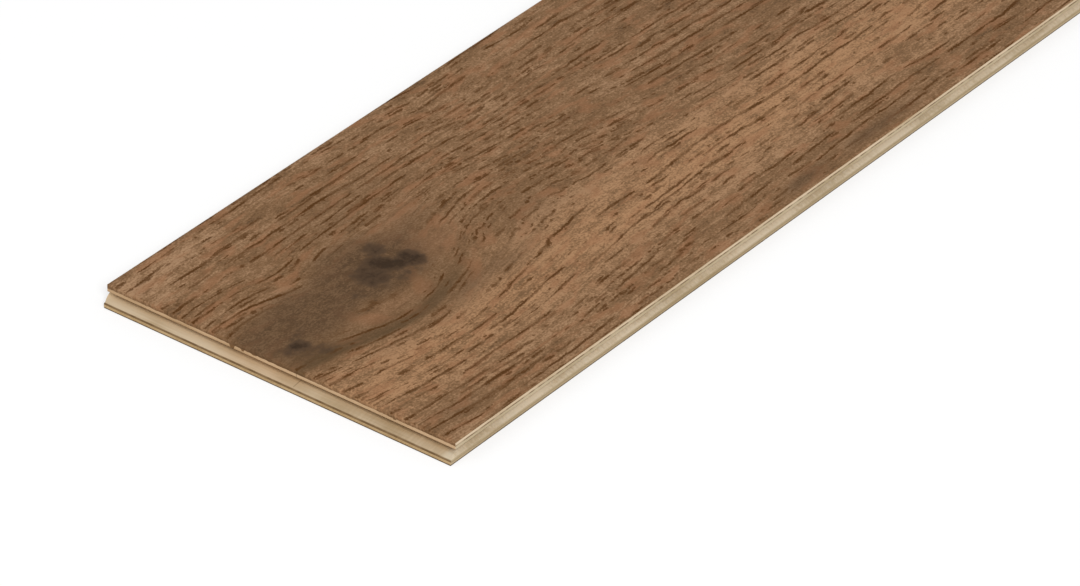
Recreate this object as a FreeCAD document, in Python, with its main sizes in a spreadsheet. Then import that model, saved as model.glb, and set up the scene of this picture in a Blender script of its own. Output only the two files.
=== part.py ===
"""Wide plank floorboard: one length of three-layer flooring stock, 14 mm thick with a 260 x 2200 mm face.

A hardwood wear layer lies on a milled core, and a backing veneer closes the underside.
The short end at -X carries a groove over a projecting lower lip; the one along -Y lies over a flush lip.
The short end at +X and the long side at +Y carry the tongues that enter the next boards.
All lengths are millimetres.  X runs along the board, Y across it, Z up, with the underside on Z = 0.
"""
import FreeCAD
import Part
import Sketcher
import os

doc = FreeCAD.newDocument("floorboard")

# Driving sizes, each a name and a value.
SIZES = (
    ("face_length", 2200.0),
    ("face_width", 260.0),
    ("wear_thickness", 2.5),
    ("core_thickness", 8.9),
    ("backing_thickness", 2.6),
    ("face_ease", 0.3),
    ("under_ease", 0.3),
    ("upper_lip", 2.35),
    ("end_lip", 4.5),
    ("end_groove_depth", 5.6),
    ("side_groove_depth", 4.6),
    ("floor_height", 4.9),
    ("nose_height", 3.6),
    ("floor_radius", 60.0),
    ("nose_ease", 0.4),
    ("groove_corner", 1.2),
    ("fit_gap", 0.2),
    ("tip_gap", 0.3),
    ("lip_gap", 0.9),
    ("overcut", 1.0),
)

# Derived stations.  The whole board, lip and tongues included, is centred on X and Y.
STATIONS = (
    ("end_tongue", "end_groove_depth - tip_gap"),
    ("side_tongue", "side_groove_depth - tip_gap"),
    ("wear_x_min", "( end_lip - end_tongue - face_length ) / 2"),
    ("wear_x_max", "wear_x_min + face_length"),
    ("wear_y_min", "( 0 - side_tongue - face_width ) / 2"),
    ("wear_y_max", "wear_y_min + face_width"),
    ("core_x_min", "wear_x_min - end_lip"),
    ("core_x_max", "wear_x_max + end_tongue"),
    ("core_y_max", "wear_y_max + side_tongue"),
    ("backing_x_max", "wear_x_max - end_lip - lip_gap"),
    ("backing_y_max", "wear_y_max - lip_gap"),
    ("core_top", "backing_thickness + core_thickness"),
    ("board_top", "core_top + wear_thickness"),
    ("groove_roof", "core_top - upper_lip"),
    ("end_groove_x", "wear_x_min + end_groove_depth"),
    ("side_groove_y", "wear_y_min + side_groove_depth"),
    ("tongue_top", "groove_roof - fit_gap"),
    ("tongue_floor", "floor_height + fit_gap"),
)

sheet = doc.addObject("Spreadsheet::Sheet", "sizes")
CELLS = [(name, "%g" % value) for name, value in SIZES]
CELLS += [(name, "=" + formula) for name, formula in STATIONS]
for row, (name, content) in enumerate(CELLS, start=1):
    sheet.set("A%d" % row, name)
    sheet.set("B%d" % row, content)
    sheet.setAlias("B%d" % row, name)
doc.recompute()
ALIASES = {name for name, content in CELLS}


def link(formula):
    """Write a formula over size names so that another object can read them from the sheet."""
    return " ".join("sizes." + word if word in ALIASES else word for word in formula.split())


def number(formula):
    """Present value of a formula over size names."""
    return float(sheet.evalExpression(formula))


def new_body(name):
    """Empty body whose label names its file."""
    body = doc.addObject("PartDesign::Body", name)
    body.Label = name
    return body


def span(a, b, bend):
    """Straight line from a to b, or an arc of the given radius that bulges to the left of that line.

    A negative radius bulges to the right.  A sketch keeps every arc counter-clockwise, so a bulge to the
    left runs from b to a.  Also gives the numbers by which the sketch knows the ends at a and at b.
    """
    if bend is None:
        return Part.LineSegment(a, b), (1, 2)
    radius = abs(bend)
    half = (b - a).Length / 2
    rise = radius - (radius ** 2 - half ** 2) ** 0.5
    left = FreeCAD.Vector(a.y - b.y, b.x - a.x, 0).normalize()
    if bend > 0:
        return Part.Arc(b, (a + b) / 2 + left * rise, a), (2, 1)
    return Part.Arc(a, (a + b) / 2 - left * rise, b), (1, 2)


def outline(body, name, role, lift, points):
    """Closed sketch on an origin plane of the body.

    Each point gives its two distances from the origin as formulas; a third entry bends the span that
    follows it into an arc, as a side (1 left, -1 right) and a radius.
    """
    sketch = body.newObject("Sketcher::SketchObject", name)
    plane = [item for item in body.Origin.OriginFeatures if item.Role == role][0]
    sketch.AttachmentSupport = (plane, "")
    sketch.MapMode = "FlatFace"
    if lift:
        sketch.setExpression("AttachmentOffset.Base.z", link(lift))
    spots = [FreeCAD.Vector(number(point[0]), number(point[1]), 0) for point in points]
    ends = []
    for i, point in enumerate(points):
        a = spots[i]
        b = spots[(i + 1) % len(spots)]
        bend = point[2][0] * number(point[2][1]) if len(point) > 2 else None
        line, names = span(a, b, bend)
        sketch.addGeometry(line, False)
        ends.append(names)
    for i in range(len(points)):
        after = (i + 1) % len(points)
        sketch.addConstraint(Sketcher.Constraint("Coincident", i, ends[i][1], after, ends[after][0]))
    for i, point in enumerate(points):
        held = [("DistanceX", point[0], spots[i].x), ("DistanceY", point[1], spots[i].y)]
        for kind, formula, value in held:
            at = sketch.addConstraint(Sketcher.Constraint(kind, -1, 1, i, ends[i][0], value))
            sketch.setExpression("Constraints[%d]" % at, link(formula))
        if len(point) > 2:
            at = sketch.addConstraint(Sketcher.Constraint("Radius", i, number(point[2][1])))
            sketch.setExpression("Constraints[%d]" % at, link(point[2][1]))
    doc.recompute()
    return sketch


def slab(body, name, x_span, y_span, lift, height):
    """Rectangular blank standing on the level given by lift."""
    left, right = x_span
    front, back = y_span
    corners = ((left, front), (right, front), (right, back), (left, back))
    pad = body.newObject("PartDesign::Pad", name)
    pad.Profile = outline(body, name + "_outline", "XY_Plane", lift, corners)
    pad.setExpression("Length", link(height))
    doc.recompute()
    return pad


def mill(body, name, role, reach, points):
    """Run a cutter of the given outline along the whole board, square to the named plane."""
    before = body.Shape.Volume
    cut = body.newObject("PartDesign::Pocket", name)
    cut.Profile = outline(body, name + "_cutter", role, "", points)
    cut.Type = "Length"
    cut.Midplane = True
    cut.setExpression("Length", link(reach))
    doc.recompute()
    if not cut.Shape.Volume < before:
        raise RuntimeError("%s cut nothing" % name)
    return cut


def ease(body, name, base, height, size):
    """Bevel every edge of the feature that lies at the given height."""
    level = number(height)
    edges = []
    for i, edge in enumerate(base.Shape.Edges, start=1):
        if all(abs(vertex.Point.z - level) < 1e-4 for vertex in edge.Vertexes):
            edges.append("Edge%d" % i)
    bevel = body.newObject("PartDesign::Chamfer", name)
    bevel.Base = (base, edges)
    bevel.setExpression("Size", link(size))
    doc.recompute()
    return bevel


# Wear layer: the face of the board, with its four top edges just eased.
wear = new_body("wear_layer")
blank = slab(wear, "face_slab", ("wear_x_min", "wear_x_max"), ("wear_y_min", "wear_y_max"),
             "core_top", "wear_thickness")
ease(wear, "face_arris", blank, "board_top", "face_ease")

# Core: the blank takes in the lip and both tongues, then each edge is milled along its whole run.
core = new_body("core")
slab(core, "core_blank", ("core_x_min", "core_x_max"), ("wear_y_min", "core_y_max"),
     "backing_thickness", "core_thickness")
ACROSS = "2 * face_width"
ALONG = "2 * face_length"
ABOVE = "core_top + overcut"
BELOW = "backing_thickness - overcut"


def groove(name, role, reach, face, tip, bottom):
    """Mill a round-cornered groove whose floor falls in a shallow arc to the nose of the lower lip.

    The upper lip ends at the face and the lower one at the tip; the cutter also clears the wood over the
    lower lip.
    """
    mill(core, name, role, reach, (
        (face, ABOVE),
        (face, "groove_roof"),
        (bottom + " - groove_corner", "groove_roof", (1, "groove_corner")),
        (bottom, "groove_roof - groove_corner"),
        (bottom, "floor_height + groove_corner", (1, "groove_corner")),
        (bottom + " - groove_corner", "floor_height", (-1, "floor_radius")),
        (tip + " + nose_ease", "nose_height"),
        (tip, "nose_height - nose_ease"),
        (tip + " - overcut", "nose_height - nose_ease"),
        (tip + " - overcut", ABOVE),
    ))


def tongue(name, role, reach, face, tip, root):
    """Mill a tongue that enters such a groove: one cutter takes the wood under it, the other that over it."""
    mill(core, name + "_under", role, reach, (
        (root, BELOW),
        (root, "nose_height + fit_gap", (1, "floor_radius")),
        (tip + " - groove_corner", "tongue_floor", (-1, "groove_corner")),
        (tip, "tongue_floor + groove_corner"),
        (tip + " + overcut", "tongue_floor + groove_corner"),
        (tip + " + overcut", BELOW),
    ))
    mill(core, name + "_top", role, reach, (
        (face, ABOVE),
        (face, "tongue_top"),
        (tip + " - groove_corner", "tongue_top", (1, "groove_corner")),
        (tip, "tongue_top - groove_corner"),
        (tip + " + overcut", "tongue_top - groove_corner"),
        (tip + " + overcut", ABOVE),
    ))


# The lower lip stands out past the face at the short end and is flush with it along the long side.
groove("end_groove", "XZ_Plane", ACROSS, "wear_x_min", "core_x_min", "end_groove_x")
groove("side_groove", "YZ_Plane", ALONG, "wear_y_min", "wear_y_min", "side_groove_y")
tongue("end_tongue", "XZ_Plane", ACROSS, "wear_x_max", "core_x_max", "backing_x_max")
tongue("side_tongue", "YZ_Plane", ALONG, "wear_y_max", "core_y_max", "backing_y_max")

# Backing veneer: closes the underside out to the lower lip, with its bottom edges eased.
backing = new_body("backing_veneer")
veneer = slab(backing, "veneer", ("core_x_min", "backing_x_max"), ("wear_y_min", "backing_y_max"),
              "", "backing_thickness")
ease(backing, "veneer_arris", veneer, "0", "under_ease")

doc.recompute()

# Every feature has to have solved, and every layer has to be one sound solid, before anything is written.
for item in doc.Objects:
    if "Invalid" in item.State or "Error" in item.State:
        raise RuntimeError("%s did not solve: %s" % (item.Name, item.State))
LAYERS = (wear, core, backing)
for body in LAYERS:
    shape = body.Shape
    if shape.isNull() or not shape.isValid() or len(shape.Solids) != 1:
        raise RuntimeError("%s is not one sound solid" % body.Label)
os.makedirs("parts", exist_ok=True)
for body in LAYERS:
    body.Shape.exportStep("parts/%s.step" % body.Label)
    box = body.Shape.BoundBox
    print("%s volume %.0f  X %.2f %.2f  Y %.2f %.2f  Z %.2f %.2f" % (
        body.Label, body.Shape.Volume, box.XMin, box.XMax, box.YMin, box.YMax, box.ZMin, box.ZMax))
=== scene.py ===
# %% [markdown]
# # A wide plank floorboard
# The board is one length of flooring stock: a brown hardwood face, a pale milled core and a thin backing,
# glued into one plank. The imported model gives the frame, so every piece made here already has its place.

# %% Load the frame
from collections import namedtuple

import bpy
import numpy as np
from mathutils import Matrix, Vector


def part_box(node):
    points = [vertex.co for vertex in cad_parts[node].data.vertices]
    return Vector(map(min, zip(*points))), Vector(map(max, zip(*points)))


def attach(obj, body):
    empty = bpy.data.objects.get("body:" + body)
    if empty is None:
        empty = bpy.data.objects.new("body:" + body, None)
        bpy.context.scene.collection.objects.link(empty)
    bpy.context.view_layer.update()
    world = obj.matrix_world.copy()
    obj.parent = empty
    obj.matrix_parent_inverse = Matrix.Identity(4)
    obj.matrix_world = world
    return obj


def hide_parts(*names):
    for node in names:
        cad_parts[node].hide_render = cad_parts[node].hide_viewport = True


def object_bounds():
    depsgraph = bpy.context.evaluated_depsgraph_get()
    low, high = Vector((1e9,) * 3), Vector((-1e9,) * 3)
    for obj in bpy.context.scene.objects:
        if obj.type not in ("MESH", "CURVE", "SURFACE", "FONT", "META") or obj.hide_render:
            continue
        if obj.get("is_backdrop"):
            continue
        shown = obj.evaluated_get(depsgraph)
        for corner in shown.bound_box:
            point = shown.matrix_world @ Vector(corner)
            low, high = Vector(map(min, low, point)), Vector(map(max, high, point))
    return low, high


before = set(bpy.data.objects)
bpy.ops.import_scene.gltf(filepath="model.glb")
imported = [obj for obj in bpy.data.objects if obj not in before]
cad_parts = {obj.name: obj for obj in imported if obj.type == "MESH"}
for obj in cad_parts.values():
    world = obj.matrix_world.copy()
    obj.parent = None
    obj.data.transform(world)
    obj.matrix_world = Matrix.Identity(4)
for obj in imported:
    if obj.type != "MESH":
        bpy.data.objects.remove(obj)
cad_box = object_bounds()
MM = 0.001
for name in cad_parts:
    near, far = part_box(name)
    print(name, "measures", [round(v / MM, 2) for v in far - near], "mm")

# %% [markdown]
# ## The camera
# The picture was taken with a long lens from the near left corner, so the long edges hardly converge. A
# camera placed by its spot, its aim and its lens is plainer than one turned by hand, and easy to check.

# %% Set up the camera
EYE = Vector((-3.42466, -2.02266, 2.10197))
AIM = Vector((-0.93533, -0.06254, 0.0))
LENS_MM = 216.96
SENSOR_MM = 36.0
FARTHEST = 200.0

camera = bpy.data.objects.new("camera", bpy.data.cameras.new("camera"))
camera.data.lens = LENS_MM
camera.data.sensor_width = SENSOR_MM
camera.data.sensor_fit = "HORIZONTAL"
camera.data.clip_end = FARTHEST
camera.location = EYE
camera.rotation_euler = (AIM - EYE).to_track_quat("-Z", "Y").to_euler()
bpy.context.scene.collection.objects.link(camera)
bpy.context.scene.camera = camera
bpy.context.scene.view_settings.view_transform = "Standard"
print("camera looks from", [round(v, 3) for v in EYE], "over", round((AIM - EYE).length, 3), "m")

# %% [markdown]
# ## Shader sums written as Python
# A finish is a sum over many small patterns. Wired by hand it is a web of nodes that nobody can read
# back, so a small class wraps one output socket, and plus, minus, times and divide on it add the Math
# nodes themselves.

# %% A socket that can be reckoned with
class Tone:
    """One output of a node in a finish: a value, a colour or a vector at every point of the wood."""

    def __init__(self, tree, socket=None):
        self.tree = tree
        self.socket = socket

    def node(self, kind, settings=None, sockets=None, output=0):
        """Add a node: first its settings, then each socket by name or number, as a link or a plain value."""
        made = self.tree.nodes.new("ShaderNode" + kind)
        for name, value in (settings or {}).items():
            setattr(made, name, value)
        for name, value in (sockets or {}).items():
            if isinstance(value, Tone):
                self.tree.links.new(value.socket, made.inputs[name])
            else:
                made.inputs[name].default_value = value
        return Tone(self.tree, made.outputs[output])

    def sum(self, operation, *values):
        """One Math node over the given values."""
        return self.node("Math", {"operation": operation}, dict(enumerate(values)))

    def __add__(self, other):
        return self.sum("ADD", self, other)

    def __sub__(self, other):
        return self.sum("SUBTRACT", self, other)

    def __rsub__(self, other):
        return self.sum("SUBTRACT", other, self)

    def __mul__(self, other):
        return self.sum("MULTIPLY", self, other)

    def __truediv__(self, other):
        return self.sum("DIVIDE", self, other)

    def __rtruediv__(self, other):
        return self.sum("DIVIDE", other, self)

    __radd__ = __add__
    __rmul__ = __mul__

    def size(self):
        """The value without its sign."""
        return self.sum("ABSOLUTE", self)

    def most(self, other):
        """The greater of two values."""
        return self.sum("MAXIMUM", self, other)

    def rise(self, low, high):
        """0 below low, 1 above high and a smooth S between; falls instead where low is above high."""
        ends = {"Value": self, "From Min": low, "From Max": high}
        return self.node("MapRange", {"interpolation_type": "SMOOTHSTEP"}, ends)

    def parts(self):
        """The three components of a vector or colour."""
        split = self.node("SeparateXYZ", None, {0: self})
        return [Tone(self.tree, socket) for socket in split.socket.node.outputs]

    def at(self, x, y, z=0.0):
        """A vector put together from three values."""
        return self.node("CombineXYZ", None, {0: x, 1: y, 2: z})

    def blend(self, kind, share, first, second):
        """Colour between two others by a share from 0 to 1.

        A Mix node takes its two colours in sockets 6 and 7 and gives the mixed one as output 2.
        """
        ways = {"data_type": "RGBA", "blend_type": kind, "clamp_factor": True}
        return self.node("Mix", ways, {0: share, 6: first, 7: second}, 2)

    def mix(self, first, second):
        """Colour that goes from first to second as this value goes from 0 to 1."""
        return self.blend("MIX", self, first, second)

    def noise(self, place, detail=2.0, rough=0.5):
        """Smooth random value, about 0 to 1 with its middle at a half."""
        sockets = {"Vector": place, "Scale": 1.0, "Detail": detail, "Roughness": rough}
        return self.node("TexNoise", {"noise_dimensions": "3D"}, sockets)


def linear(red, green, blue):
    """Colour in everyday screen numbers, 0 to 255, turned into the linear light of a shader."""
    part = np.array((red, green, blue)) / 255.0
    light = np.where(part <= 0.04045, part / 12.92, ((part + 0.055) / 1.055) ** 2.4)
    return (*light.tolist(), 1.0)


def new_finish(name):
    """Empty material with a Principled shader: its tree to build in, and the shader's node."""
    finish = bpy.data.materials.new(name)
    finish.use_nodes = True
    return finish, Tone(finish.node_tree), finish.node_tree.nodes["Principled BSDF"]


print("a socket can now be added, multiplied and mixed")

# %% [markdown]
# ## The floor
# Stock is photographed on a white sweep. The floor here is a plain white sheet that keeps the board's own
# faint shadow; to the camera it also glows a little, so that open floor comes out white. It lies a hair
# above the underside and is clear from below, so that a look from underneath meets the wood first.

# %% Lay the floor
WHITE = (1.0, 1.0, 1.0, 1.0)
PAPER = (0.82, 0.82, 0.82, 1.0)
FLOOR_HALF = 60.0
FLOOR_LIFT = 0.00005
FLOOR_GLOW = 0.55
FLOOR_LEVEL = 1.14
SQUARE = ((-1, -1), (1, -1), (1, 1), (-1, 1))
SEEN_RAYS = ("Is Camera Ray", "Is Glossy Ray", "Is Transmission Ray")

corners = [(FLOOR_HALF * u, FLOOR_HALF * v, FLOOR_LIFT) for u, v in SQUARE]
sheet = bpy.data.meshes.new("floor")
sheet.from_pydata(corners, [], [(0, 1, 2, 3)])
floor = bpy.data.objects.new("floor", sheet)
bpy.context.scene.collection.objects.link(floor)
floor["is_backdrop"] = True


def looked_at(tree):
    """1 for rays from the camera, a glossy face or clear stuff, 0 for those that only carry light."""
    path = tree.nodes.new("ShaderNodeLightPath")
    straight, mirrored, through = (Tone(tree, path.outputs[name]) for name in SEEN_RAYS)
    return straight.most(mirrored).most(through)


paper, ink, shader = new_finish("white_sweep")
shader.inputs["Base Color"].default_value = PAPER
shader.inputs["Roughness"].default_value = 1.0
shader.inputs["Specular IOR Level"].default_value = 0.0
matt = Tone(paper.node_tree, shader.outputs[0])
glow = ink.node("Emission", None, {"Color": WHITE, "Strength": FLOOR_LEVEL})
lit = ink.node("MixShader", None, {0: looked_at(paper.node_tree) * FLOOR_GLOW, 1: matt, 2: glow})
from_below = ink.node("NewGeometry", None, None, "Backfacing")
shown = ink.node("MixShader", None, {0: from_below, 1: lit, 2: ink.node("BsdfTransparent")})
paper.node_tree.links.new(shown.socket, paper.node_tree.nodes["Material Output"].inputs["Surface"])
floor.data.materials.append(paper)
print("floor laid,", 2 * FLOOR_HALF, "m square")

# %% [markdown]
# ## The light
# A big soft lamp stands high behind the camera and to its right, so it lights the face and the long side
# alike. A weak one fills in from the left, and an even white sky does the rest.

# %% Hang the lamps
SKY = 0.62
# Each lamp: name, spot and breadth in metres, and power in watts.
LAMPS = (
    ("key", (-5.3, -5.9, 5.5), 3.4, 500.0),
    ("fill", (-4.4, 2.5, 4.2), 3.0, 40.0),
)
world = bpy.data.worlds.new("studio")
bpy.context.scene.world = world
world.use_nodes = True
sky = SKY + looked_at(world.node_tree) * (1.0 - SKY)
backdrop = world.node_tree.nodes["Background"]
backdrop.inputs["Color"].default_value = WHITE
world.node_tree.links.new(sky.socket, backdrop.inputs["Strength"])
for name, spot, size, power in LAMPS:
    lamp = bpy.data.objects.new(name, bpy.data.lights.new(name, "AREA"))
    lamp.data.energy = power
    lamp.data.shape = "DISK"
    lamp.data.size = size
    lamp.location = spot
    lamp.rotation_euler = (AIM - Vector(spot)).to_track_quat("-Z", "Y").to_euler()
    lamp.visible_camera = False
    bpy.context.scene.collection.objects.link(lamp)
print(len(LAMPS), "lamps hung")

# %% [markdown]
# ## How the grain runs
# Wood fibre flows past a knot as water flows past a stone: lines crowd above and below it and leave a
# calm patch at its heart. One number, which line of grain a point lies on, is worked out for the whole
# face at once, and every later pattern is drawn along it. The knots nearest the grooved end are placed as
# seen.

# %% Grain lines round the knots
# Each knot: along from the grooved end, across from the middle, reach above and below in mm, and stretch.
KNOTS = (
    (122.0, 17.0, 18.0, 1.0, 1.25),
    (88.0, 5.0, 1.0, 44.0, 1.15),
    (14.0, 0.0, 20.0, 1.0, 1.2),
    (1475.0, -46.0, 24.0, 30.0, 1.5),
)
# Local dips of the grain: along, across, half length, half breadth and height, in mm.
DIPS = (
    (70.0, 46.0, 24.0, 26.0, 7.0),
    (204.0, 24.0, 52.0, 48.0, -15.0),
    (290.0, 20.0, 80.0, 50.0, -13.0),
    (282.0, 100.0, 48.0, 32.0, 6.0),
    (600.0, 40.0, 120.0, 60.0, 5.0),
    (900.0, -30.0, 160.0, 70.0, -8.0),
    (1250.0, 50.0, 180.0, 60.0, 7.0),
    (1800.0, 10.0, 200.0, 80.0, -7.0),
)


def grain_line(x, y):
    """Which grain line passes a point, in mm from the board's middle.

    Away from knots it is simply y.  Near a knot at distance r, the offset from the knot is scaled by
    r * r / (r * r + reach * reach), so lines bulge round it; each dip adds a bell-shaped step.
    """
    line = np.array(y, float)
    for along, across, above, under, stretch in KNOTS:
        off = y - across
        reach = np.where(off > 0, above, under) ** 2
        apart = ((x - along) / stretch) ** 2 + off ** 2
        line = line - off * reach / (apart + reach)
    for along, across, half_length, half_breadth, height in DIPS:
        apart = ((x - along) / half_length) ** 2 + ((y - across) / half_breadth) ** 2
        line = line + height * np.exp(-apart)
    return line


print("grain line under the first knot:", round(float(grain_line(122.0, -33.0)), 1), "mm")

# %% [markdown]
# ## The hardwood face
# The face is a sawn layer 2.5 mm thick, planed flat with its upper edges just eased. It is a section
# carried along the board: a row of points across the top, down both edges and back underneath. A close
# grid on top gives each point its grain line and its figure, which the finish reads back.

# %% Plane the face
EASE = 0.3
ARRIS = EASE * (1 - np.cos(np.radians((0.0, 30.0, 60.0, 90.0))))
FINE_END = 660.0
FINE_STEP = 2.0
COARSE_STEP = 4.5
ROWS = 110
low, high = (np.array(v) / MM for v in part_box("wear_layer"))
length, width = high[0] - low[0], high[1] - low[1]


def spaced(first, last, step):
    """Even stations from first to last, about a step apart, without the first."""
    return np.linspace(first, last, int(round((last - first) / step)) + 1)[1:]


def eased(extent, *inner):
    """Stations over a whole extent: close ones round both arrises and the inner ones between them."""
    return np.concatenate((ARRIS, *inner, extent - ARRIS[-2::-1]))


def sunk(gap):
    """How far a rounded arris of radius EASE lies below the face, at a given distance from the edge."""
    inside = np.clip(EASE - gap, 0.0, EASE)
    return EASE - np.sqrt(EASE ** 2 - inside ** 2)


def face_points(x, y):
    """Points of the face layer, in mm.

    Each station has one point underneath at either edge and between them a row over the top, which sinks at
    the arrises by the quarter round of sunk().  Then follows, for each end, the row that lies under it.
    """
    gap = np.minimum(x, length - x)[:, None]
    side = np.minimum(y, width - y)[None, :]
    top = high[2] - np.maximum(sunk(gap), sunk(side))
    across = np.concatenate((y[:1], y, y[-1:]))
    level = np.full((len(x), 1), low[2])
    heights = np.concatenate((level, top, level), axis=1)
    shell = np.stack(np.broadcast_arrays(x[:, None], across[None, :], heights), -1).reshape(-1, 3)
    under = [np.stack(np.broadcast_arrays(end, y[1:-1], low[2]), -1) for end in (x[0], x[-1])]
    return np.concatenate([shell] + under) + np.array((low[0], low[1], 0.0))


stations = eased(length, spaced(EASE, FINE_END, FINE_STEP), spaced(FINE_END, length - EASE, COARSE_STEP))
rows = eased(width, spaced(EASE, width - EASE, (width - 2 * EASE) / ROWS))
points = face_points(stations, rows)
print("face layer:", len(points), "points")

# %% [markdown]
# ## Faces between the points
# Four neighbours make a quad. The underside needs no grid, so one broad face per station closes it. The
# long edges and the underside are bare wood and get a finish of their own.

# %% Join the points
def face_faces(count, row_count):
    """Quads over the top and edges, quads down each end, and underneath one broad face per station.

    Also tells which faces are bare: the two long edges and the underside.
    """
    ring = row_count + 2
    i, j = np.meshgrid(np.arange(count - 1), np.arange(ring - 1), indexing="ij")
    start = (i * ring + j).ravel()
    quads = np.stack((start, start + ring, start + ring + 1, start + 1), -1).tolist()
    marks = np.isin(j.ravel(), (0, ring - 2)).astype(np.int32).tolist()
    shell = count * ring
    feet = []
    for end in (0, 1):
        first = end * (count - 1) * ring
        inner = shell + end * (row_count - 2) + np.arange(row_count - 2)
        feet.append(np.concatenate(((first,), inner, (first + ring - 1,))))
        tops = first + 1 + np.arange(row_count)
        wall = np.stack((feet[end][:-1], tops[:-1], tops[1:], feet[end][1:]), -1)
        quads += (wall if end == 0 else wall[:, ::-1]).tolist()
        marks += [0] * len(wall)
    left = np.arange(1, count - 1) * ring
    right = left + ring - 1
    broad = np.stack((left[:-1], right[:-1], right[1:], left[1:]), -1).tolist()
    broad.append(feet[0].tolist() + [int(right[0]), int(left[0])])
    broad.append(feet[1][::-1].tolist() + [int(left[-1]), int(right[-1])])
    return quads + broad, np.array(marks + [1] * len(broad), np.int32)


faces, bare = face_faces(len(stations), len(rows))
print("face layer:", len(faces), "faces,", int(bare.sum()), "of them bare")

# %% [markdown]
# ## What the face looks like
# Walnut-brown wood: broad bands that lean to olive or to pink, short dark pores that run with the grain,
# and a smoky patch round the knots near the grooved end. Each of these is a list of soft ellipses, laid
# where the wood shows them.

# %% Figure the face
# Patches of the face: along, across, half length and half breadth in mm, turn in degrees, edge and weight.
SMOKE = (
    (40.0, 17.0, 66.0, 28.0, 0.0, 2, 0.76),
    (108.0, 21.0, 50.0, 32.0, 0.0, 2, 0.86),
    (16.0, -5.0, 22.0, 13.0, -30.0, 1, 0.8),
    (124.0, -36.0, 66.0, 13.0, 4.0, 1, 0.42),
    (158.0, -36.0, 26.0, 12.0, 0.0, 1, 0.46),
    (28.0, -108.0, 30.0, 12.0, -6.0, 1, 0.26),
    (140.0, 70.0, 66.0, 30.0, 0.0, 1, 0.24),
    (150.0, 30.0, 36.0, 24.0, 15.0, 1, 0.46),
    (206.0, -8.0, 46.0, 20.0, 0.0, 1, 0.24),
    (345.0, -121.0, 26.0, 6.0, 3.0, 1, 0.75),
    (418.0, -121.0, 36.0, 6.0, 0.0, 1, 0.7),
    (1475.0, -46.0, 60.0, 22.0, 0.0, 2, 0.8),
)
HEARTS = (
    (102.0, 15.0, 13.0, 15.0, 0.0, 2, 0.76),
    (117.0, 1.0, 17.0, 7.0, 0.0, 1, 0.5),
    (116.0, 18.5, 12.0, 7.5, -73.0, 2, 1.0),
    (123.0, 10.5, 8.0, 6.0, -20.0, 2, 0.94),
    (131.0, 9.0, 9.0, 11.0, 10.0, 2, 0.92),
    (110.5, 11.0, 5.0, 5.0, 0.0, 1, 0.6),
    (124.5, 31.5, 8.5, 8.0, 40.0, 2, 0.74),
    (20.0, 1.0, 8.5, 7.0, -30.0, 2, 0.84),
    (14.0, 1.0, 9.0, 8.0, 0.0, 1, 0.56),
    (23.0, -3.0, 6.0, 5.0, 0.0, 1, 0.5),
    (26.0, 10.0, 9.0, 3.5, 0.0, 1, 0.34),
    (26.0, -12.0, 12.0, 7.0, -40.0, 1, 0.5),
    (33.0, 12.0, 4.0, 6.0, 0.0, 1, 0.46),
    (81.0, 8.0, 7.0, 6.0, 0.0, 1, 0.42),
    (1475.0, -46.0, 17.0, 10.0, 15.0, 1, 0.95),
)
ROSY = (
    (156.0, 8.0, 20.0, 13.0, 20.0, 1, 1.0),
    (80.0, -15.0, 42.0, 7.0, -4.0, 1, 0.75),
    (165.0, 47.0, 30.0, 9.0, 20.0, 1, 0.6),
)
GLEAMS = (
    (58.0, 47.0, 14.0, 2.2, -14.0, 1, 1.0),
    (22.0, 114.0, 56.0, 20.0, 0.0, 1, 1.3),
    (90.0, 99.0, 34.0, 10.0, 0.0, 1, 0.5),
    (205.0, 99.0, 44.0, 12.0, 0.0, 1, 0.6),
    (385.0, 99.0, 34.0, 12.0, 0.0, 1, 0.7),
    (310.0, 88.0, 100.0, 30.0, 0.0, 1, 0.35),
    (282.0, 90.0, 44.0, 15.0, 0.0, 1, 0.8),
    (448.0, -38.0, 40.0, 13.0, 0.0, 1, 0.5),
    (290.0, -52.0, 60.0, 22.0, 0.0, 1, 0.22),
    (40.0, -48.0, 60.0, 9.0, -4.0, 1, 0.4),
    (150.0, -117.0, 56.0, 16.0, 0.0, 1, 0.4),
)
SWARMS = (
    (232.0, 14.0, 98.0, 50.0, 0.0, 2, 1.0),
    (200.0, -108.0, 50.0, 18.0, 0.0, 1, 1.0),
    (320.0, 70.0, 70.0, 46.0, 0.0, 2, 0.5),
)
BUNDLES = (
    (34.0, -106.0, 44.0, 13.0, -5.0, 2, 0.7),
    (345.0, -118.0, 40.0, 9.0, 3.0, 2, 0.6),
    (420.0, -118.0, 44.0, 9.0, 0.0, 2, 0.6),
    (436.0, 33.0, 50.0, 8.0, 0.0, 2, 0.8),
    (150.0, 84.0, 70.0, 12.0, 0.0, 2, 0.4),
)


def blot(x, y, along, across, half_length, half_breadth, turn, edge):
    """1 in the middle of a turned ellipse and about a third at its rim.

    It is a bell for edge 1, and flatter with a brisker rim for more.
    """
    cos, sin = np.cos(np.radians(turn)), np.sin(np.radians(turn))
    u = ((x - along) * cos + (y - across) * sin) / half_length
    v = ((y - across) * cos - (x - along) * sin) / half_breadth
    return np.exp(-(u * u + v * v) ** edge)


along_face = points[:, 0] - low[0]
across_face = points[:, 1] - (low[1] + high[1]) / 2


def patches(spots):
    """Strongest of the named patches at every point of the face."""
    return np.max([weight * blot(along_face, across_face, *spot) for *spot, weight in spots], axis=0)


smoke, heart, rosy, gleam = (patches(spots) for spots in (SMOKE, HEARTS, ROSY, GLEAMS))
swarm = patches(SWARMS) - patches(BUNDLES)
print("smoke covers", round(100 * float((smoke > 0.5).mean()), 1), "percent of the points")

# %% [markdown]
# ## What each point carries
# The grain line and how closely its neighbours lie come from the formula above. A dark sweep follows one
# grain line under the knots, and a light lane runs the whole length of the board.

# %% Work out the marks
NUDGE = 0.5
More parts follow.
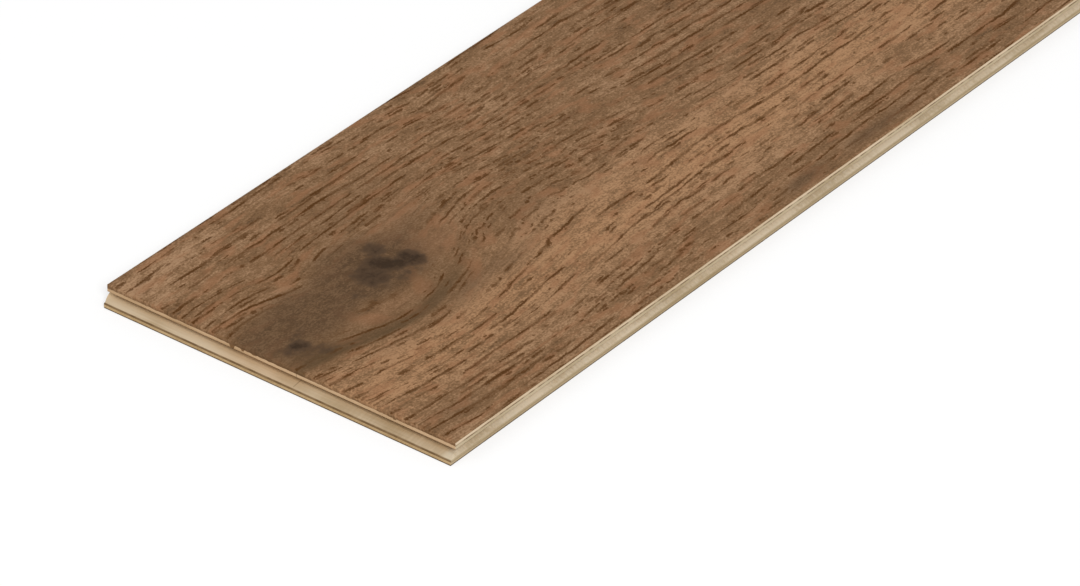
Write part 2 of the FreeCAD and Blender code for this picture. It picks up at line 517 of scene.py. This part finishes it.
# The sweep: a point on its line, softness above and below it, its top and where it starts and ends, in mm.
SWEEP_AT = (97.0, -33.0)
SWEEP_ABOVE, SWEEP_BELOW, SWEEP_TOP = 9.0, 2.4, 8.0
SWEEP_START, SWEEP_IN = -30.0, 40.0
SWEEP_END, SWEEP_OUT = 172.0, 60.0
# The lane: its middle, sway, length of the sway and half breadth in mm, and how far smoke puts it out.
LANE_AT, LANE_SWAY, LANE_TURN, LANE_HALF, LANE_SMOKE = -62.0, 8.0, 300.0, 38.0, 0.8

line = grain_line(along_face, across_face)
crowding = grain_line(along_face, across_face + NUDGE) - grain_line(along_face, across_face - NUDGE)
crowding = crowding / (2 * NUDGE)
past = line - float(grain_line(*SWEEP_AT))
fade = np.where(past > 0, past / SWEEP_ABOVE, past / SWEEP_BELOW)
sweep = np.exp(-fade ** 2) * (across_face < SWEEP_TOP)
sweep = sweep * np.clip((along_face - SWEEP_START) / SWEEP_IN, 0, 1)
sweep = sweep * np.clip((SWEEP_END - along_face) / SWEEP_OUT, 0, 1)
sway = LANE_SWAY * np.sin(along_face / LANE_TURN)
lane = np.exp(-((across_face - LANE_AT - sway) / LANE_HALF) ** 2) * (1.0 - LANE_SMOKE * smoke)
depth = high[2] - points[:, 2]
run = np.where(along_face < length / 2, along_face - depth, along_face + depth)
print("grain crowds by", round(float(crowding.min()), 2), "to", round(float(crowding.max()), 2))

# %% [markdown]
# ## Reading the grain back
# The finish reads the marks from the mesh. Two slow noises make the lines wander and wriggle, as fibres
# do. Other patterns come from one helper, which draws them in grain coordinates, so they bend where the
# grain bends.

# %% Start the face finish
SPREAD = 12.0
face_finish, wood, shader = new_finish("oiled_brown_face")


def carried(name):
    """The three values that the mesh carries under a name."""
    return wood.node("Attribute", {"attribute_name": name}, None, "Vector").parts()


along_grain, across_grain, crowding_mark = carried("grain")
smoke_mark, heart_mark, sweep_mark = carried("figure")
lane_mark, swarm_mark, rosy_mark = carried("mood")
gleam_mark, across_board, below_face = carried("light")
wander = wood.noise(wood.at(along_grain / 55.0, across_grain / 16.0, 3.0), 2.0) - 0.5
wriggle = wood.noise(wood.at(along_grain / 8.0, across_grain / 7.0, 4.0), 1.0) - 0.5
grain = across_grain + 6.0 * wander + (1.8 + 1.0 * swarm_mark) * wriggle


def field(pitch_along, pitch_across, seed, detail=2.0, rough=0.55, across=grain):
    """Random value, mostly from -1 to 1, in patches of the given size in mm; a pattern for each seed."""
    place = wood.at(along_grain / pitch_along, across / pitch_across, seed)
    return (wood.noise(place, detail, rough) - 0.5) * SPREAD


print("grain read back through", len(wood.tree.nodes), "nodes")

# %% [markdown]
# ## Pores
# Cut vessels show as dark dashes strung on the grain lines: long ones in calm wood, short ones in swarms,
# and stray ones where the lines part and would leave the wood bald. Smoke closes them, and they stay off
# the edges.

# %% Open the pores
# Pores by kind: pitch of their lines, length of a dash and half width in mm, and a seed.
LONG = (8.8, 44.0, 0.88, 2.5)
MIDDLING = (7.1, 17.0, 0.92, 6.5)
SHORT = (5.4, 8.0, 0.9, 10.5)
STRAY = (4.3, 8.0, 0.75, 14.5)
LEAST_CROWDING = 0.35
LINE_SWAY, SWAY_LENGTH, SWAY_LINES = 0.12, 150.0, 4.0
ROW_APART = 7.31
FRAY = 0.2

fray = field(1.3, 0.8, 13.0, 1.0)
spacing = crowding_mark.most(LEAST_CROWDING)


def pore_rows(kind, cut):
    """Pores of one kind, strung on grain lines a pitch apart.

    Along each line its own random value cuts the dashes: above the cut one opens and widens, below it the
    wood is plain.  The distance from the line is put back into mm by the local spacing, so pores stay thin
    where lines part.
    """
    pitch, dash, half_width, seed = kind
    phase = grain / pitch + LINE_SWAY * field(SWAY_LENGTH, SWAY_LINES * pitch, seed)
    row = phase.sum("FLOOR", phase)
    off = (phase.sum("FRACT", phase) - 0.5) * pitch / spacing
    own = wood.noise(wood.at(along_grain / dash, row * ROW_APART, seed), 3.0, 0.55)
    opening = (own - 0.5) * SPREAD - cut
    reach = half_width * opening.rise(-0.2, 1.1) + FRAY * fray - off.size()
    return reach.rise(-0.55, 0.4) * opening.rise(-0.1, 0.3)


flock = swarm_mark + 0.3 * field(60.0, 14.0, 9.0)
long_pores = pore_rows(LONG, 2.4 * swarm_mark - 0.3)
mid_pores = pore_rows(MIDDLING, 0.38 + 0.7 * swarm_mark)
stray_pores = pore_rows(STRAY, 2.4 * crowding_mark - 1.3)
short_pores = pore_rows(SHORT, -0.5).most(stray_pores) * flock.rise(0.3, 0.6)
open_grain = (smoke_mark + 0.7 * rosy_mark + 0.06 * field(14.0, 6.0, 33.0)).rise(0.62, 0.3)
ticks = long_pores.most((mid_pores * 0.9).most(short_pores * 0.9)) * open_grain
ticks = ticks * below_face.rise(0.8, 0.3) * (0.6 + 0.4 * field(13.0, 5.0, 41.0).rise(-0.8, 0.8))
print("pores opened,", len(wood.tree.nodes), "nodes so far")

# %% [markdown]
# ## Colours of the face
# One tone, from dark to light, carries the bands, streaks and flecks; the light flecks are partly painted
# glints of the relief. Over it lie blush, smoke, the dark sweep and the knots, each a colour let through by
# its own mark, and the pores come last.

# %% Colour the face
DARK, MIDDLE, LIGHT = linear(78, 56, 34), linear(122, 91, 62), linear(168, 133, 101)
LANE_LIGHT = linear(172, 131, 95)
BLUSH, ROSE = linear(150, 104, 72), linear(128, 92, 65)
HAZE_DARK, HAZE_LIGHT = linear(74, 54, 35), linear(104, 79, 55)
SWEPT = linear(82, 62, 39)
KNOT_RIM, KNOT_HEART = linear(73, 55, 39), linear(50, 35, 21)
PORE, BURNT = linear(76, 44, 9), linear(78, 52, 26)

band = field(700.0, 24.0, 1.0)
streak = field(40.0, 2.2, 5.0, 3.0, 0.65)
fleck_and_glint = field(1.8, 1.3, 7.0, 2.0, 0.6, across_board)
mottle = field(8.0, 5.0, 17.0, 3.0, 0.6, across_board)
cloud = field(34.0, 15.0, 11.0, 2.0, 0.5, across_board)
# The flecks in the tone are partly grain and partly painted highlight, light specks where the relief would
# catch the light.
tone = 0.48 + 0.2 * lane_mark + 0.2 * gleam_mark + 0.04 * band + 0.06 * streak + 0.1 * fleck_and_glint
tone = tone + 0.07 * mottle + 0.05 * cloud
lighter = lane_mark.mix(LIGHT, LANE_LIGHT)
colour = tone.rise(0.42, 1.0).mix(tone.rise(-0.1, 0.55).mix(DARK, MIDDLE), lighter)
blush = field(26.0, 9.0, 21.0).rise(-0.2, 2.0)
colour = (blush * 0.45).mix(colour, BLUSH)
murk = smoke_mark + 0.05 * cloud + 0.06 * mottle + 0.04 * fleck_and_glint - 0.22 * rosy_mark
haze = (0.45 + 0.22 * mottle + 0.2 * fleck_and_glint).rise(0.0, 1.0).mix(HAZE_DARK, HAZE_LIGHT)
colour = (murk.rise(0.0, 0.9) * 0.92).mix(colour, haze)
colour = (rosy_mark * 0.42).mix(colour, ROSE)
colour = (sweep_mark * (0.8 + 0.1 * streak)).mix(colour, SWEPT)
ragged = field(6.0, 6.0, 31.0, 3.0, 0.6, across_board)
knot = heart_mark + 0.09 * ragged + 0.03 * fleck_and_glint
colour = (knot.rise(0.2, 0.66) * 0.88).mix(colour, KNOT_RIM)
colour = (knot.rise(0.6, 1.0) * 0.92).mix(colour, KNOT_HEART)
colour = (ticks * 0.9).mix(colour, PORE)
end_grain = (wood.noise(wood.at(across_board / 1.3, below_face / 0.8, 15.0), 2.0) - 0.5) * SPREAD
colour = (below_face.rise(0.7, 2.2) * (0.3 + 0.12 * end_grain)).mix(colour, BURNT)
relief = fleck_and_glint * 0.03 + streak * 0.04 - ticks
bump = wood.node("Bump", None, {"Strength": 0.3, "Distance": 0.0002, "Height": relief})
wood.tree.links.new(colour.socket, shader.inputs["Base Color"])
wood.tree.links.new((0.55 + 0.16 * ticks + 0.02 * streak).socket, shader.inputs["Roughness"])
wood.tree.links.new(bump.socket, shader.inputs["Normal"])
shader.inputs["Specular IOR Level"].default_value = 0.05
print("face finish has", len(wood.tree.nodes), "nodes")

# %% [markdown]
# ## Pale woods
# The sawn edges, the core and the backing are bare wood. One function makes them all: a tone for level
# faces, one for long sides and one for ends, with streaks the way the grain lies. Object coordinates are
# enough here.

# %% Prepare the pale woods
# Noise steps per metre, along and across the board: streaks, then the figure under them.
ALONG_BOARD, ACROSS_BOARD = (12.0, 700.0), (700.0, 12.0)
EVEN_FIGURE, LONG_FIGURE = (25.0, 25.0), (6.0, 60.0)
STREAKS_UP, FIGURE_UP = 900.0, 300.0
GRAIN_SHADE = linear(222, 215, 202)
GLUE = linear(104, 82, 56)
SEAM_SHADE = linear(140, 119, 86)
Stock = namedtuple("Stock", "finish wood shader tint spot sidewise endwise")


def pale_wood(name, tones, lie, contrast, figure=EVEN_FIGURE):
    """Bare wood in tones for level faces, long sides and ends.

    Gives its finish and colour, the place in mm and how far a face looks sideways or endways.  Undersides
    that lie clear of the floor, such as those of lips and tongues, take the tone of the ends as painted
    shade.
    """
    finish, wood, shader = new_finish(name)
    flat, side, end = tones
    spot = wood.node("TexCoord", None, None, "Object").parts()
    facing = wood.node("NewGeometry", None, None, "Normal").parts()
    sidewise, endwise = (part.size().rise(0.5, 0.8) for part in (facing[1], facing[0]))
    # Painted shade: undersides of lips and tongues count as ends, so they take the darker end tone.
    endwise = endwise.most(facing[2].rise(-0.5, -0.8) * (spot[2] / MM).rise(1.0, 2.0))
    streak = wood.noise(wood.at(spot[0] * lie[0], spot[1] * lie[1], spot[2] * STREAKS_UP), 3.0, 0.6)
    cloud = wood.noise(wood.at(spot[0] * figure[0], spot[1] * figure[1], spot[2] * FIGURE_UP), 2.0)
    shade = 0.5 - contrast * (1.0 - 0.6 * sidewise) * (streak - 0.5) - 1.6 * (cloud - 0.5)
    base = endwise.mix(sidewise.mix(flat, side), end)
    tint = shade.rise(0.25, 1.0).mix(base, wood.blend("MULTIPLY", 1.0, base, GRAIN_SHADE))
    bump = wood.node("Bump", None, {"Strength": 0.2, "Distance": 0.0002, "Height": streak})
    wood.tree.links.new((0.72 + 0.2 * (streak - 0.5)).socket, shader.inputs["Roughness"])
    wood.tree.links.new(bump.socket, shader.inputs["Normal"])
    shader.inputs["Specular IOR Level"].default_value = 0.1
    return Stock(finish, wood, shader, tint, [part / MM for part in spot], sidewise, endwise)


def coat(stock, colour):
    """Use a colour as the wood's own."""
    stock.wood.tree.links.new(colour.socket, stock.shader.inputs["Base Color"])


def broken(stock):
    """Dashes of a glue line along the board, from 0.35 to 1."""
    own = stock.wood.noise(stock.wood.at(stock.spot[0] * 0.12, 0.0, 2.0), 2.0)
    return 0.35 + 0.65 * own.rise(0.42, 0.55)


print("pale woods can now be mixed")

# %% [markdown]
# ## The sawn edge and the backing
# The long edges of the face are cut through the oil, so the wood there is its own pale colour, brown at
# the very top and with the thin glue line at its foot. The backing is tan, and a painted contact shadow
# runs as a dark line along its eased bottom edge.

# %% Mix the edge and the backing
CREAM = linear(208, 187, 159)
OILED = linear(112, 85, 58)
BACK_FLAT, BACK_SIDE, BACK_END = linear(190, 170, 138), linear(181, 162, 131), linear(186, 158, 118)
FOOT_SHADOW = linear(74, 55, 32)
core_low, core_high = (np.array(v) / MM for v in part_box("core"))

edge = pale_wood("bare_sawn_edge", (CREAM, CREAM, CREAM), ALONG_BOARD, 1.0)
up = edge.spot[2]
tint = (up.rise(low[2] + 0.4, low[2] + 0.1) * broken(edge)).mix(edge.tint, GLUE)
coat(edge, up.rise(high[2] - 0.7, high[2] - 0.4).mix(tint, OILED))

backing = pale_wood("tan_backing", (BACK_FLAT, BACK_SIDE, BACK_END), ALONG_BOARD, 1.2, LONG_FIGURE)
up = backing.spot[2]
seam = up.rise(core_low[2] - 0.9, core_low[2] - 0.4) * backing.sidewise
tint = (seam * 0.5).mix(backing.tint, SEAM_SHADE)
# Painted contact shadow: the bottom of the backing's sides and ends turns dark brown where it meets the
# floor.
arris = (up.rise(1.2, 0.75) * backing.sidewise).most(up.rise(1.25, 0.75) * backing.endwise)
coat(backing, (arris * 0.92).mix(tint, FOOT_SHADOW))
print("edge and backing mixed")

# %% [markdown]
# ## The core
# The core shows most at the grooved end. Its groove floor is warm and pale with faint saw marks, and a
# painted warm-brown shadow lies on it under the upper lip. The upper lip is torn in a few spots, the lower
# lip has a dark rim, and a hairline shows where two strips of the core meet.

# %% Mix the core
CORE_FLAT, CORE_SIDE, CORE_END = linear(206, 191, 166), linear(187, 170, 141), linear(192, 161, 126)
FLOOR_STAIN, UNDER_LIP_SHADOW = linear(252, 245, 238), linear(222, 187, 140)
SAW_STAIN, MIDDLE_STAIN = linear(230, 226, 219), linear(252, 246, 241)
TORN, LIP_SHADE, RIM = linear(112, 82, 52), linear(112, 82, 50), linear(92, 69, 41)
NOSE_TOP = 3.6
UPPER_LIP = 2.35
# Torn spots of the upper lip at the grooved end: across, half breadth and depth, in mm.
CHIPS = ((32.6, 2.3, 2.2), (24.6, 1.3, 1.1), (16.0, 2.4, 0.5), (-88.0, 1.5, 0.8))
STRIP_JOINT = -15.6

core = pale_wood("pale_core", (CORE_FLAT, CORE_SIDE, CORE_END), ACROSS_BOARD, 1.0)
wood = core.wood
along, across, up = core.spot
lip_under = core_high[2] - UPPER_LIP
seam = up.rise(core_high[2] - 0.75, core_high[2] - 0.35) * core.sidewise * broken(core)
tint = (seam * 0.9).mix(core.tint, GLUE)
foot = up.rise(core_low[2] + 1.5, core_low[2] + 0.4) * core.sidewise
tint = (foot * 0.45).mix(tint, SEAM_SHADE)

at_end = along.rise(core_low[0] + 14.0, core_low[0] + 10.0)
inward = across.rise(core_low[1] + 4.0, core_low[1] + 10.0)
at_floor = at_end * inward * (1.0 - core.endwise) * (1.0 - core.sidewise)
tint = wood.blend("MULTIPLY", at_floor, tint, FLOOR_STAIN)
# Painted shadow: further in, under the upper lip, the groove floor turns warm brown.
tint = (at_floor * along.rise(core_low[0] + 2.0, core_low[0] + 9.0) * 0.5).mix(tint, UNDER_LIP_SHADOW)
saw = wood.noise(wood.at(across * 0.55, along * 0.05, 6.0), 2.0).rise(0.35, 0.65)
tint = wood.blend("MULTIPLY", at_floor * across.rise(10.0, -110.0) * (0.6 + 0.4 * saw), tint, SAW_STAIN)
middle = (across - 10.0) / 40.0
tint = wood.blend("MULTIPLY", at_floor * (middle * middle).rise(1.0, 0.1), tint, MIDDLE_STAIN)

tint = (core.endwise * up.rise(NOSE_TOP + 0.5, NOSE_TOP)).mix(tint, BACK_END)
torn = up + 0.5 * wood.noise(wood.at(across * 0.16, 0.0, 8.0), 3.0, 0.65).rise(0.35, 0.7)
for spot, half_breadth, deep in CHIPS:
    torn = torn + deep * (across - spot).size().rise(half_breadth, 0.5 * half_breadth)
tint = (core.endwise * at_end * torn.rise(core_high[2] - 0.2, core_high[2] + 0.15)).mix(tint, TORN)
shaded = up.rise(lip_under + 0.55, lip_under) * core.endwise * at_end
tint = (shaded * 0.5).mix(tint, LIP_SHADE)
# A dark line along the top edge of the lower lip's nose, stronger in patches.
rim = (up - (NOSE_TOP - 0.2)).size().rise(0.75, 0.5) * along.rise(core_low[0] + 0.9, core_low[0] + 0.5)
rim_patches = wood.noise(wood.at(across * 0.09, 0.0, 5.0), 2.0).rise(0.4, 0.6)
tint = (rim * (0.62 + 0.26 * rim_patches)).mix(tint, RIM)
crack = (across - STRIP_JOINT).size().rise(0.45, 0.2) * at_end * up.rise(NOSE_TOP + 0.1, NOSE_TOP + 0.4)
coat(core, (crack * 0.5).mix(tint, GLUE))
print("core mixed with", len(wood.tree.nodes), "nodes")

# %% [markdown]
# ## Putting the board together
# The face becomes a mesh, takes its marks along and stands in for the plain layer of the frame. The core
# and the backing keep the frame's own shapes and only get their finishes.

# %% Put the face on the board
SHARP = np.radians(40.0)


def build_mesh(name, points, faces, finishes, which):
    """Mesh object from points in mm and lists of faces, smooth but for its sharp arrises."""
    mesh = bpy.data.meshes.new(name)
    mesh.from_pydata(points * MM, [], faces)
    for finish in finishes:
        mesh.materials.append(finish)
    mesh.polygons.foreach_set("material_index", which)
    mesh.polygons.foreach_set("use_smooth", np.ones(len(mesh.polygons), bool))
    mesh.set_sharp_from_angle(angle=SHARP)
    mesh.validate()
    mesh.update()
    made = bpy.data.objects.new(name, mesh)
    bpy.context.scene.collection.objects.link(made)
    return made


def carry(mesh, name, values):
    """Store three values for every point of a mesh under a name that a finish can read."""
    store = mesh.attributes.new(name, "FLOAT_VECTOR", "POINT")
    store.data.foreach_set("vector", np.stack(values, -1).astype(np.float32).ravel())


face = build_mesh("hardwood_face", points, faces, (face_finish, edge.finish), bare)
carry(face.data, "grain", (run, line, crowding))
carry(face.data, "figure", (smoke, heart, sweep))
carry(face.data, "mood", (lane, swarm, rosy))
carry(face.data, "light", (gleam, across_face, depth))
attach(face, "root")
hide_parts("wear_layer")
for name, stock in (("core", core), ("backing_veneer", backing)):
    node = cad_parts[name]
    node.data.materials.clear()
    node.data.materials.append(stock.finish)
print("hardwood face:", len(face.data.polygons), "faces")

# %% [markdown]
# ## How much the box grew
# The board's box is measured before and after dressing, and how much it grew is printed.

# %% Print how much the box grew
made_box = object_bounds()
grown = (made_box[1] - made_box[0]) - (cad_box[1] - cad_box[0])
print("box grew by", [round(v / MM, 3) for v in grown], "mm")
